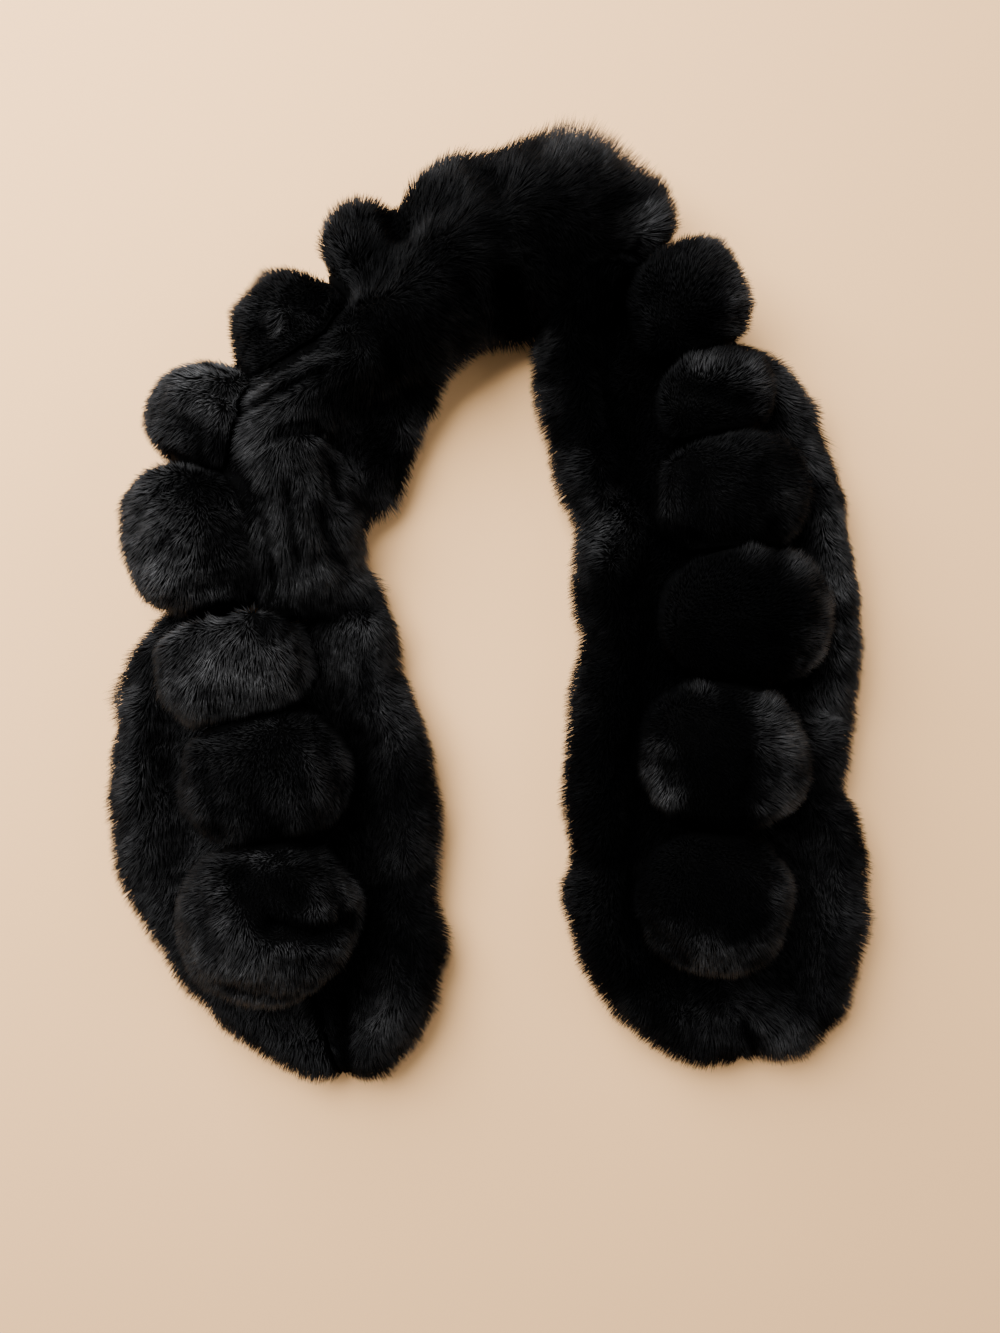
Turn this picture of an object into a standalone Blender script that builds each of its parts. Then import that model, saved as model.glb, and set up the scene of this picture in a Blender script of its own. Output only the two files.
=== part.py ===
"""Fur collar wrap: black sheared fur, laid out flat in a horseshoe.

Two flat fur strips run side by side from tip to tip, one along the neck and one along the
outer edge. A row of gathered puffs is sewn over the join between them. Round the back of
the neck the outer strip is turned under, the neck strip falls outwards over the puffs, and
the row of puffs shows at the outer side. Every solid reaches to the tips of its fur.

All sizes are in millimetres and are turned into metres when a mesh is made. +Z is up, +Y
points to the back of the neck, and the collar lies on the plane z = 0.
"""

import math
from collections import namedtuple

import bmesh
import bpy
from mathutils import Matrix, Vector

MM = 0.001

# ---- Driving sizes -------------------------------------------------------------------
SEAM_GAP = 0.3  # between any two pieces
STRIP_CREST = 26.0  # height of a flat strip's fur, over its pelt
SEAT_HEIGHT = 13.0  # fur pressed flat under the puffs
EDGE_MIDDLE = 10.5  # height at which a strip's free edge reaches furthest
EDGE_TUCK = 6.0  # how far the free edge turns in below
CREST_INSET = 15.0  # from the free edge in to the highest line of the fur
SHOULDER_INSET = 33.0  # from the free edge in to where the fur is pressed flat
SEAT_INSET = 1.5  # the strips stop this far from the line under the puffs
TIP_INSET = 5.0  # and this far at its two tips, where they fan out
TIP_RUN = 15.0  # length over which the one becomes the other
SECTION_STEP = 10.0  # spacing of the cross sections
PINCH_DEPTH = 2.0  # a seam draws the free edge in this far
PINCH_DROP = 0.14  # and lowers the fur by this share
PINCH_SHARE = 0.2  # of a pelt's length, at either end, is drawn in
LINE_PIECES = 8  # straight lines between two points of the line under the puffs
CURVE_STEPS = 4  # steps round the upper quarter of a free edge
FALL_STEPS = (0.4, 0.7, 1.0)  # shares of the way from the crest down to the seat
FOLD_MIDDLE = 16.0  # height at which a fold reaches furthest
FOLD_SQUARE = 2.2  # 2 is an ellipse, more is squarer
FOLD_STEPS = 10  # steps over the top of a fold
FUR_BLACK = (0.012, 0.012, 0.014, 1.0)
FUR_ROUGHNESS = 0.75

# ---- The line under the puffs, from each tip up to the shoulder ------------------------
RIGHT_LINE = [(88, -124), (91, -58), (97, -4), (95, 46), (88, 84), (80, 120)]
LEFT_LINE = [(-85, -128), (-88, -66), (-96, -22), (-108, 16), (-114, 40)]

# ---- Free edges of the strips -----------------------------------------------------------
# x and y of the edge, height of the fur there, and "seam" where two pelts are joined.
Edge = namedtuple("Edge", "x y height seam")

RIGHT_INNER = [
    Edge(50, 143, 36, "seam"),
    Edge(36, 138, 42, ""),
    Edge(22, 127, 41, ""),
    Edge(17, 113, 37, ""),
    Edge(18, 92, 30, ""),
    Edge(22, 72, 27, ""),
    Edge(26, 53, 26, ""),
    Edge(30, 42, 26, ""),
    Edge(34, 31, 25, "seam"),
    Edge(33, 18, 29, ""),
    Edge(34, 2, 29, ""),
    Edge(36, -13, 26, "seam"),
    Edge(32, -32, 27, ""),
    Edge(30, -64, 27, ""),
    Edge(31, -88, 27, ""),
    Edge(33, -104, 25, "seam"),
    Edge(29, -112, 26, ""),
    Edge(31, -128, 27, ""),
    Edge(39, -149, 27, ""),
    Edge(55, -170, 26, ""),
    Edge(79, -185, 25, ""),
    Edge(104, -187, 23, "seam"),
]
RIGHT_OUTER = [
    Edge(104, -187, 23, "seam"),
    Edge(121, -184, 24, ""),
    Edge(137, -174, 25, ""),
    Edge(148, -156, 26, ""),
    Edge(153, -130, 27, ""),
    Edge(154, -104, 27, ""),
    Edge(151, -84, 26, ""),
    Edge(147, -73, 22, "seam"),
    Edge(147, -60, 24, ""),
    Edge(146, -48, 22, "seam"),
    Edge(150, -36, 28, ""),
    Edge(152, -10, 30, ""),
    Edge(149, 14, 30, ""),
    Edge(145, 42, 30, ""),
    Edge(141, 60, 28, ""),
    Edge(136, 70, 25, "seam"),
    Edge(135, 80, 27, ""),
    Edge(125, 94, 29, ""),
    Edge(113, 104, 27, ""),
    Edge(101, 110, 24, "seam"),
]
LEFT_INNER = [
    Edge(-58, -195, 24, "seam"),
    Edge(-42, -190, 25, ""),
    Edge(-28, -175, 27, ""),
    Edge(-19, -152, 28, ""),
    Edge(-17, -134, 27, ""),
    Edge(-20, -113, 24, "seam"),
    Edge(-19, -94, 27, ""),
    Edge(-21, -70, 28, ""),
    Edge(-25, -48, 28, ""),
    Edge(-34, -27, 28, ""),
    Edge(-40, -6, 27, ""),
    Edge(-44, 5, 25, "seam"),
]
LEFT_OUTER = [
    Edge(-58, -195, 24, "seam"),
    Edge(-79, -190, 24, ""),
    Edge(-101, -177, 25, ""),
    Edge(-118, -159, 26, ""),
    Edge(-135, -137, 26, ""),
    Edge(-150, -118, 24, "seam"),
    Edge(-153, -98, 27, ""),
    Edge(-155, -72, 28, ""),
    Edge(-152, -48, 27, ""),
    Edge(-152, -33, 24, "seam"),
    Edge(-150, -23, 26, ""),
    Edge(-139, -9, 25, ""),
    Edge(-131, 3, 20, "seam"),
]

# ---- The fold round the back of the neck -------------------------------------------------
# Edges on the neck side and on the outer side, height of the fold, and "seam".
Fold = namedtuple("Fold", "neck_x neck_y outer_x outer_y height seam")

NECK_FOLD = [
    Fold(-45, 6, -92, -8, 29, "seam"),
    Fold(-50, 15, -94, 10, 38, ""),
    Fold(-51, 25, -95, 27, 43, ""),
    Fold(-50, 36, -98, 40, 47, ""),
    Fold(-54, 50, -105, 50, 50, ""),
    Fold(-55, 62, -104, 68, 52, ""),
    Fold(-50, 76, -97, 84, 54, ""),
    Fold(-38, 83, -84, 94, 56, ""),
    Fold(-27, 87, -70, 104, 57, "seam"),
    Fold(-16, 96, -54, 121, 57, ""),
    Fold(-6, 104, -36, 140, 57, ""),
    Fold(4, 108, -19, 158, 57, ""),
    Fold(11, 108, -4, 173, 56, "seam"),
    Fold(18, 107, 13, 184, 54, ""),
    Fold(28, 112, 32, 186, 51, ""),
    Fold(41, 120, 48, 180, 48, ""),
    Fold(51, 130, 60, 167, 40, "seam"),
]

# The lower layer of the neck strip, which shows past the fold on the left shoulder.
NECK_LAYER = [
    Fold(-49, 34, -74, 44, 18, "seam"),
    Fold(-41, 39, -72, 52, 23, ""),
    Fold(-34, 47, -70, 60, 26, ""),
    Fold(-29, 61, -66, 70, 27, ""),
    Fold(-27, 72, -60, 78, 27, ""),
    Fold(-25, 85, -52, 92, 25, "seam"),
]

# ---- The puffs, from each tip up ----------------------------------------------------------
# Centre, size across and along the row, top, underside before it is seated, and squareness.
Puff = namedtuple("Puff", "x y across along top under square")

RIGHT_PUFFS = [
    Puff(88, -114, 63, 57, 58, 5, 2.3),
    Puff(90, -57, 67, 61, 62, 5, 2.3),
    Puff(97, -3, 68, 58, 63, 5, 2.3),
    Puff(93, 45, 63, 53, 58, 5, 2.3),
    Puff(89, 82, 48, 40, 52, 3, 2.3),
    Puff(78, 119, 46, 48, 52, -3, 2.6),
    Puff(61, 155, 28, 32, 40, -3, 2.2),
]
LEFT_PUFFS = [
    Puff(-84, -120, 73, 66, 62, 5, 2.2),
    Puff(-87, -66, 68, 52, 58, 5, 2.5),
    Puff(-98, -22, 60, 46, 58, 5, 2.9),
    Puff(-117, 28, 51, 64, 56, -3, 2.4),
    Puff(-109, 73, 52, 48, 50, -3, 2.2),
    Puff(-76, 107, 52, 48, 50, -3, 2.3),
    Puff(-47, 139, 46, 40, 46, -3, 2.3),
    Puff(-11, 155, 44, 50, 46, -3, 2.4),
]
PUFF_RINGS = 11
PUFF_SIDES = 20
PUFF_LOBES = 3  # soft lobes round a puff, turned from one puff to the next
PUFF_WAVE = 0.03  # their height as a share of the puff's size
PUFF_TURN = 1.7


# ---- Curves ---------------------------------------------------------------------------------
def signed_power(value, power):
    return math.copysign(abs(value) ** power, value)


def catmull_rom(values, step):
    """Value on a smooth curve through the given values, at a fractional index."""
    last = len(values) - 1
    index = min(int(step), last - 1)
    share = step - index
    before = values[max(index - 1, 0)]
    start, end = values[index], values[index + 1]
    after = values[min(index + 2, last)]
    return 0.5 * (
        2 * start
        + (end - before) * share
        + (2 * before - 5 * start + 4 * end - after) * share**2
        + (3 * start - before - 3 * end + after) * share**3
    )


def nearest_on_line(point, line):
    """Closest point to a point on an open run of straight lines, in plan."""
    best = None
    for start, end in zip(line, line[1:]):
        start, end = Vector(start), Vector(end)
        run = end - start
        share = max(0.0, min(1.0, (point - start).dot(run) / run.length_squared))
        found = start + run * share
        if best is None or (found - point).length < (best - point).length:
            best = found
    return best


def seat_inset(seat, line):
    """How far a strip stops short of the line under the puffs."""
    to_tip = min((seat - line[0]).length, (seat - line[-1]).length)
    share = max(0.0, 1.0 - to_tip / TIP_RUN)
    return SEAT_INSET + (TIP_INSET - SEAT_INSET) * share


def smooth_line(line):
    """The line's own points with smooth points between them."""
    points = [Vector(point) for point in line]
    count = (len(points) - 1) * LINE_PIECES
    return [catmull_rom(points, i / LINE_PIECES) for i in range(count + 1)]


def pelts(rows):
    """Splits a table at its seams: one list of rows for each pelt."""
    seams = [i for i, row in enumerate(rows) if row.seam]
    return [rows[a : b + 1] for a, b in zip(seams, seams[1:])]


def stations(rows):
    """Fractional row indices for the cross sections of one pelt, evenly spaced."""
    points = [Vector(row[:2]) for row in rows]
    length = sum((b - a).length for a, b in zip(points, points[1:]))
    count = max(3, round(length / SECTION_STEP))
    return [(len(rows) - 1) * i / count for i in range(count + 1)]


def seam_pinch(position, last):
    """1 at a seam, falling to 0 a little way in."""
    share = min(position, last - position) / last
    return max(0.0, 1.0 - share / PINCH_SHARE) ** 2


# ---- Cross sections ---------------------------------------------------------------------------
def tucked_edge(middle):
    """(distance in, z) up a tucked-in free edge, from just above the floor to its middle height."""
    turns = [math.radians(angle) for angle in (30, 60)]
    return [(EDGE_TUCK * (1 - math.sin(turn)), middle * (1 - math.cos(turn))) for turn in turns]


def strip_profile(width, height, seat):
    """(distance in from the free edge, z) round a strip lying flat, starting below its seat."""
    crest = min(CREST_INSET, width * 0.4)
    shoulder = min(SHOULDER_INSET, width * 0.85)
    profile = [(width, 0.0), (EDGE_TUCK, 0.0), *tucked_edge(EDGE_MIDDLE)]
    for i in range(CURVE_STEPS + 1):
        turn = math.pi / 2 * i / CURVE_STEPS
        rise = (height - EDGE_MIDDLE) * math.sin(turn)
        profile.append((crest * (1 - math.cos(turn)), EDGE_MIDDLE + rise))
    for share in FALL_STEPS:
        drop = (1 - math.cos(math.pi * share)) / 2
        across = crest + (shoulder - crest) * share
        profile.append((across, height + (seat - height) * drop))
    profile.append((width, seat))
    return profile


def fold_profile(width, height):
    """(distance in from the outer edge, z) round a rounded roll with a flat underside."""
    middle = min(height / 3, FOLD_MIDDLE)
    power = 2 / FOLD_SQUARE
    edge = tucked_edge(middle)
    profile = [(width - EDGE_TUCK, 0.0), (EDGE_TUCK, 0.0), *edge]
    for i in range(FOLD_STEPS + 1):
        turn = math.pi * i / FOLD_STEPS
        across = width / 2 * (1 - signed_power(math.cos(turn), power))
        profile.append((across, middle + (height - middle) * math.sin(turn) ** power))
    profile += [(width - across, z) for across, z in reversed(edge)]
    return profile


# ---- Solids -------------------------------------------------------------------------------------
def fur_material(name):
    material = bpy.data.materials.new(name)
    material.use_nodes = True
    shader = material.node_tree.nodes["Principled BSDF"]
    shader.inputs["Base Color"].default_value = FUR_BLACK
    shader.inputs["Roughness"].default_value = FUR_ROUGHNESS
    shader.inputs["Metallic"].default_value = 0.0
    return material


def add_object(name, points, faces):
    """One closed solid from points in millimetres."""
    mesh = bpy.data.meshes.new(name)
    mesh.from_pydata([Vector(point) * MM for point in points], [], faces)
    shape = bmesh.new()
    shape.from_mesh(mesh)
    bmesh.ops.recalc_face_normals(shape, faces=shape.faces)
    bmesh.ops.triangulate(shape, faces=shape.faces)
    shape.to_mesh(mesh)
    shape.free()
    mesh.materials.append(fur_material(name + "_fur"))
    mesh.shade_smooth()
    mesh.set_sharp_from_angle(angle=math.radians(50))
    made = bpy.data.objects.new(name, mesh)
    bpy.context.scene.collection.objects.link(made)
    return made


def loft(name, sections):
    """A solid through closed sections with the same number of points, capped at both ends."""
    count = len(sections[0])
    points = [point for section in sections for point in section]
    faces = []
    for ring in range(len(sections) - 1):
        for i in range(count):
            j = (i + 1) % count
            here, there = ring * count, (ring + 1) * count
            faces.append((here + i, here + j, there + j, there + i))
    faces.append(tuple(range(count)))
    faces.append(tuple(len(points) - count + i for i in reversed(range(count))))
    return add_object(name, points, faces)


def moved_from_seams(sections):
    """Draws the two end sections half a seam gap in along the run."""
    for end, beside in ((0, 1), (-1, -2)):
        centre = sum((Vector(p) for p in sections[end]), Vector()) / len(sections[end])
        inner = sum((Vector(p) for p in sections[beside]), Vector()) / len(sections[beside])
        normal = section_normal(sections[end])
        if normal.dot(inner - centre) < 0:
            normal.negate()
        sections[end] = [Vector(p) + normal * SEAM_GAP / 2 for p in sections[end]]
    return sections


def section_normal(section):
    """Level unit vector square to an upright section."""
    across = Vector(section[1]) - Vector(section[0])
    return Vector((-across.y, across.x, 0.0)).normalized()


def strip_piece(name, rows, line):
    """One pelt of a flat strip between its free edge and the line under the puffs."""
    sections = []
    edges = [Vector((row.x, row.y)) for row in rows]
    heights = [row.height for row in rows]
    marks = stations(rows)
    for mark in marks:
        pinch = seam_pinch(mark, marks[-1])
        edge = catmull_rom(edges, mark)
        seat = nearest_on_line(edge, line)
        inwards = (seat - edge).normalized()
        edge = edge + inwards * PINCH_DEPTH * pinch
        width = (seat - edge).length - seat_inset(seat, line)
        height = catmull_rom(heights, mark) * (1 - PINCH_DROP * pinch)
        profile = strip_profile(width, height, min(SEAT_HEIGHT, height - 2))
        sections.append([Vector((*(edge + inwards * u), z)) for u, z in profile])
    return loft(name, moved_from_seams(sections))


def fold_piece(name, rows):
    """One pelt of a folded strip between its two edges."""
    sections = []
    necks = [Vector((row.neck_x, row.neck_y)) for row in rows]
    outers = [Vector((row.outer_x, row.outer_y)) for row in rows]
    heights = [row.height for row in rows]
    marks = stations(rows)
    for mark in marks:
        pinch = seam_pinch(mark, marks[-1])
        neck, outer = catmull_rom(necks, mark), catmull_rom(outers, mark)
        inwards = (neck - outer).normalized()
        width = (neck - outer).length
        height = catmull_rom(heights, mark) * (1 - PINCH_DROP / 2 * pinch)
        profile = fold_profile(width, height)
        sections.append([Vector((*(outer + inwards * u), z)) for u, z in profile])
    return loft(name, moved_from_seams(sections))


def puff_frame(puffs, index):
    """Unit vectors along and across the row at one puff."""
    before = puffs[max(index - 1, 0)]
    after = puffs[min(index + 1, len(puffs) - 1)]
    along = Vector((after.x - before.x, after.y - before.y, 0)).normalized()
    return along, Vector((-along.y, along.x, 0))


def contact_plane(puff, other):
    """Point and direction of the flat where a puff presses on its neighbour."""
    here, there = Vector((puff.x, puff.y, 0)), Vector((other.x, other.y, 0))
    towards = there - here
    share = puff.along / (puff.along + other.along)
    point = here + towards * share
    return point - towards.normalized() * SEAM_GAP / 2, towards.normalized()


def puff_piece(name, puffs, index):
    """A gathered puff: a squashed ball, flat where it meets its neighbours and the floor."""
    puff = puffs[index]
    along, across = puff_frame(puffs, index)
    centre = Vector((puff.x, puff.y, (puff.top + puff.under) / 2))
    half = Vector((puff.along, puff.across, puff.top - puff.under)) / 2
    power = 2 / puff.square
    neighbours = [puffs[i] for i in (index - 1, index + 1) if 0 <= i < len(puffs)]
    planes = [contact_plane(puff, other) for other in neighbours]

    def settled(point):
        for place, normal in planes:
            past = (point - place).dot(normal)
            if past > 0:
                point = point - normal * past
        point.z = max(point.z, 0.0)
        return point

    points = [settled(centre - along * half.x)]
    for ring in range(1, PUFF_RINGS):
        tip = math.pi * ring / PUFF_RINGS
        radius = math.sin(tip) ** power
        run = -signed_power(math.cos(tip), power) * half.x
        for side in range(PUFF_SIDES):
            turn = 2 * math.pi * side / PUFF_SIDES
            wave = 1 + PUFF_WAVE * math.cos(PUFF_LOBES * turn + index * PUFF_TURN) * math.sin(tip)
            sideways = signed_power(math.cos(turn), power) * half.y * radius * wave
            up = signed_power(math.sin(turn), power) * half.z * radius
            points.append(settled(centre + along * run + across * sideways + Vector((0, 0, up))))
    points.append(settled(centre + along * half.x))

    faces = [(0, 1 + (i + 1) % PUFF_SIDES, 1 + i) for i in range(PUFF_SIDES)]
    for ring in range(PUFF_RINGS - 2):
        here = 1 + ring * PUFF_SIDES
        there = here + PUFF_SIDES
        for i in range(PUFF_SIDES):
            j = (i + 1) % PUFF_SIDES
            faces.append((here + i, here + j, there + j, there + i))
    last, end = 1 + (PUFF_RINGS - 2) * PUFF_SIDES, len(points) - 1
    faces += [(last + i, last + (i + 1) % PUFF_SIDES, end) for i in range(PUFF_SIDES)]
    return add_object(name, points, faces)


# ---- Clearances ------------------------------------------------------------------------------------
def clearance_of(piece):
    """A hidden copy of a piece, larger by one seam gap all round, to cut its neighbours with."""
    grown = piece.data.copy()
    normals = [normal.vector.copy() for normal in grown.vertex_normals]
    for vertex, normal in zip(grown.vertices, normals):
        vertex.co += normal * SEAM_GAP * MM
    cutter = bpy.data.objects.new(piece.name + "_clearance", grown)
    cutter.hide_render = True
    cutter.display_type = "WIRE"
    bpy.context.scene.collection.objects.link(cutter)
    return cutter


def boxes_meet(first, second):
    low_a, high_a = corners(first)
    low_b, high_b = corners(second)
    return all(low_a[i] < high_b[i] and low_b[i] < high_a[i] for i in range(3))


def corners(piece):
    places = [vertex.co for vertex in piece.data.vertices]
    low = [min(place[i] for place in places) for i in range(3)]
    high = [max(place[i] for place in places) for i in range(3)]
    return low, high


def cut_clear(piece, cutters):
    """Seats a piece on its neighbours by cutting it back from their clearances."""
    for cutter in cutters:
        if boxes_meet(piece, cutter):
            cut = piece.modifiers.new(cutter.name, "BOOLEAN")
            cut.operation = "DIFFERENCE"
            cut.solver = "EXACT"
            cut.object = cutter


def centre_on_origin(pieces):
    """Puts the origin under the middle of the collar, on the plane it lies on."""
    lows, highs = zip(*(corners(piece) for piece in pieces))
    low = [min(values) for values in zip(*lows)]
    high = [max(values) for values in zip(*highs)]
    shift = Vector((-(low[0] + high[0]) / 2, -(low[1] + high[1]) / 2, 0.0))
    for made in bpy.data.objects:
        made.data.transform(Matrix.Translation(shift))


def main():
    for old in list(bpy.data.objects):
        bpy.data.objects.remove(old)

    strips = []
    for name, rows, line in (
        ("inner_right", RIGHT_INNER, RIGHT_LINE),
        ("outer_right", RIGHT_OUTER, RIGHT_LINE),
        ("inner_left", LEFT_INNER, LEFT_LINE),
        ("outer_left", LEFT_OUTER, LEFT_LINE),
    ):
        for number, rows_of_pelt in enumerate(pelts(rows), 1):
            strips.append(strip_piece(f"{name}_{number}", rows_of_pelt, smooth_line(line)))
    layer = fold_piece("neck_layer", NECK_LAYER)
    folds = [fold_piece(f"neck_fold_{i}", rows) for i, rows in enumerate(pelts(NECK_FOLD), 1)]
    puffs = [puff_piece(f"puff_right_{i + 1}", RIGHT_PUFFS, i) for i in range(len(RIGHT_PUFFS))]
    puffs += [puff_piece(f"puff_left_{i + 1}", LEFT_PUFFS, i) for i in range(len(LEFT_PUFFS))]

    cutters = [clearance_of(piece) for piece in strips]
    cut_clear(layer, cutters)
    cutters.append(clearance_of(layer))
    for piece in folds:
        cut_clear(piece, cutters)
    cutters += [clearance_of(piece) for piece in folds]
    for piece in puffs:
        cut_clear(piece, cutters)
    centre_on_origin(strips + [layer] + folds + puffs)


main()
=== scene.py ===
import math
from collections import namedtuple

import bmesh
import bpy
import numpy as np
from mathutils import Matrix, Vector, noise
from mathutils.bvhtree import BVHTree


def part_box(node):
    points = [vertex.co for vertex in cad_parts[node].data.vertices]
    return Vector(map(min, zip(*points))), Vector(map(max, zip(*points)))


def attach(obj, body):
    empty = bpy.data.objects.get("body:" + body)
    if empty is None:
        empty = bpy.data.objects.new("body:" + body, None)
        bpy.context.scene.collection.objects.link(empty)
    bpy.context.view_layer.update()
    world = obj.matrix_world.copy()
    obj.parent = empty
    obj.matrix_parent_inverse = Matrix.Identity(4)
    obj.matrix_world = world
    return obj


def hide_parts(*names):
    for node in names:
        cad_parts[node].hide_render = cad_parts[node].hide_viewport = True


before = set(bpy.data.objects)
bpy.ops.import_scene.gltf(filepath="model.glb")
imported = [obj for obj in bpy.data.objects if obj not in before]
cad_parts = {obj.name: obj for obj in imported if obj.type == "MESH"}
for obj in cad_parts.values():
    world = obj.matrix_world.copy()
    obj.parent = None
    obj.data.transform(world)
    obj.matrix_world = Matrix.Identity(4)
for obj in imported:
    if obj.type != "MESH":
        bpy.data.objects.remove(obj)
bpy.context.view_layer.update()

MM = 0.001

# ---- Pelts and pile --------------------------------------------------------------------------
VOXEL = 1.8 * MM  # grain of a pelt's surface
PUFF_ROUNDING = 10  # passes that round a puff off
STRIP_ROUNDING = 30  # passes that round a strip or a fold off
EDGE_ROUNDING = 6  # passes that soften the step between free and pressed fur
LAST_ROUNDING = 3  # passes over the finished pelt
ROUNDING_STEP = 0.5  # how far one pass moves a point to the middle of its neighbours
PRESSED_ROUNDING = 0.03  # share of the rounding that pressed fur gets
FREE_SPAN = (0.5, 0.9)  # share of free fur round a point at which it begins to count, and counts
BROAD_LUMP = 2.2 * MM
BROAD_SIZE = 13.0 * MM
SMALL_LUMP = 0.9 * MM
SMALL_SIZE = 5.0 * MM
PILE_DEPTH = 3.6 * MM  # the pelt lies this far under the tips of its fur
STRIP_DEPTH = 0.75  # share of that depth for the strips
DEPTH_RISE = 2.2  # how steeply that depth sets in from a pressed edge
EDGE_RISE = 2.0  # how steeply the lumps and the free surface do
LEAST_INWARD = 0.05  # a way into the pelt that is evened out to less than this stays short,
LEAST_GUIDE = 0.02  # and so does one out of it,
LEAST_WAY = 0.35  # and one along which the fur lies
TIGHT = 0.8 * MM  # fur with less room than this is pressed away
ROOMY = 8.0 * MM  # fur with this much room has its whole length
OVERHANG = 0.4  # how far hair that points off an edge is still laid along it
SHORTEST = 0.45  # share of its length that fur keeps in a tight place
LENGTH_RISE = 1.6  # how steeply fur gains its length from a tight place
UNDERSIDE = -0.55  # surfaces that face down more than this lie on the floor
UNDERSIDE_BLEND = 0.15  # over which the fur thins out towards them
GROWING_SPAN = (0.1, 0.3)  # share of free fur round a point at which hair begins to grow, and grows
SIDE_DENSITY = 0.6  # share of the hairs that grow on upright sides
OVERLAP = 0.5 * MM  # solids grow by this to be joined under one pelt
BLENDING = 20  # passes that blend the ways of the fur over a seam
PELT_SHARE = 0.25  # of a pelt's faces that are kept under the fur
HAIR_DENSITY = 2.0e6  # hairs on a square metre of pelt
HAIR_LENGTH = 4.9 * MM
HAIR_WIDTH = 0.18 * MM  # from the middle of a hair to its corner
HAIR_SIDES = 3
LENGTH_SPREAD = (0.75, 1.2)  # least and greatest share of its length and width that a hair has
WIDTH_SPREAD = (0.7, 1.3)
DROOP = -0.25  # how far combed hair points down
CLUMP_SIZE = 3.0 * MM
CLUMP_LEAN = 0.34
PATCH_SIZE = 15.0 * MM
PATCH_LEAN = 0.40
TUFT_SIZE = 2.2 * MM
TUFT_STEP = 0.16
HAIR_JITTER = 0.12
CLUMP_SHIFT, PATCH_SHIFT = 0.31, 0.73  # keep the clumps and the patches apart
JITTER_SEED, TWIST_SEED, LENGTH_SEED, WIDTH_SEED, SHADE_SEED = 5, 7, 11, 13, 17
LOWEST = 0.2 * MM  # no hair goes lower than this over the floor
TIP_REACH = 0.7  # share of a hair at which it covers what is under it
STROKE_WOBBLE = 0.6  # how uneven the edge of a stroke is
CREASE_FADE = 2.0  # how long a crease holds as the surface turns away from facing up
CREASE_FULL_DEPTH = 3.0 * MM  # depth at which a crease is black inside with painted shade, and at which it shortens the fur most
CREASE_PAINTED_SHADE = 0.92  # the most that the painted shade in a crease darkens the nap
CREASE_TRIM = 0.45  # the most that it shortens the fur
RIM_PAINTED_SHEEN = 0.45  # painted sheen: how much greyer fur is painted where it turns away to the sides
RIM_POWER = 3  # how close to the rim that stays
PUFF_EDGE_SHEEN_KEPT = 0.15  # share of its painted sheen that a puff keeps at a pressed edge, where it is painted in shade
PUFF_EDGE_RISE = 1.5  # how steeply it gains the rest
PUFF_UNDERSIDE_SHADE_SPAN = (-0.3, 0.3)  # facings between which a puff's underside goes from painted black shade to its painted sheen

# ---- Finishes -----------------------------------------------------------------------------------
FUR_BLACK = (0.0003, 0.00035, 0.0005, 1.0)
# grey of the painted sheen towards the tips of the hair
FUR_SHEEN_GREY = (0.200, 0.200, 0.207, 1.0)
FUR_ROUGHNESS = 0.62
FUR_GLOSS = 0.03
SHEEN_GREY_SHARE = 0.5  # how far the strongest painted sheen goes towards that grey
SHEEN_RISE = 1.2  # how late along a hair the painted sheen sets in
SHEEN_PATCH_SCALE = 150.0  # random patches where the painted sheen is stronger or weaker, to a metre, their unevenness and roughness
SHEEN_PATCH_DETAIL = 3.0
SHEEN_PATCH_ROUGHNESS = 0.7
SHEEN_PATCH_FROM = (0.38, 0.64)  # this much of the pattern gives the least and the most painted sheen
SHEEN_PATCH_TO = (0.5, 1.35)
SHADE_LEAST, SHADE_SPREAD = 0.7, 0.6  # from hair to hair, at random, the painted sheen has the least, and up to this more
UNDERFUR_DARK = (0.0004, 0.0004, 0.0004, 1.0)
UNDERFUR_LIGHT = (0.0012, 0.0012, 0.0013, 1.0)
UNDERFUR_ROUGHNESS = 0.9
UNDERFUR_GLOSS = 0.02
UNDERFUR_SCALE = 900.0
UNDERFUR_DETAIL = 3.0
UNDERFUR_BUMP = 0.6
UNDERFUR_BUMP_HEIGHT = 0.4 * MM
FLOOR_HALF = 3.0  # from the middle of the floor to its sides, in metres
FLOOR_COLOUR = (0.92, 0.535, 0.24, 1.0)
FLOOR_ROUGHNESS = 0.9

# ---- Light and camera ---------------------------------------------------------------------------
# place, in metres, of a square lamp that shines on the middle of the floor; side, in metres; watts
Lamp = namedtuple("Lamp", "name place side watts")

LAMPS = (
    Lamp("overhead", (-0.44, 0.50, 0.70), 0.9, 37.0),
    Lamp("side", (1.2, 0.2, 0.9), 0.8, 6.0),
)
ROOM_COLOUR = (1.0, 0.97, 0.93, 1.0)
ROOM_STRENGTH = 0.3
CAMERA_PLACE = (4.5 * MM, -19.6 * MM, 420 * MM)
CAMERA_LENS = 27.0
CAMERA_FILM = 36.0
CAMERA_NEAREST = 0.01


# ---- The way the fur lies --------------------------------------------------------------------
# angle: the way the hair points in plan, in degrees, 0 along +X and 90 along +Y;
# lean: degrees from the surface's normal; length: share of the usual hair;
# painted sheen, the last column: how grey the nap is painted where light catches it, 0 for deep black
# and 1 for the greyest.
Lay = namedtuple("Lay", "angle lean length tone")

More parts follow.
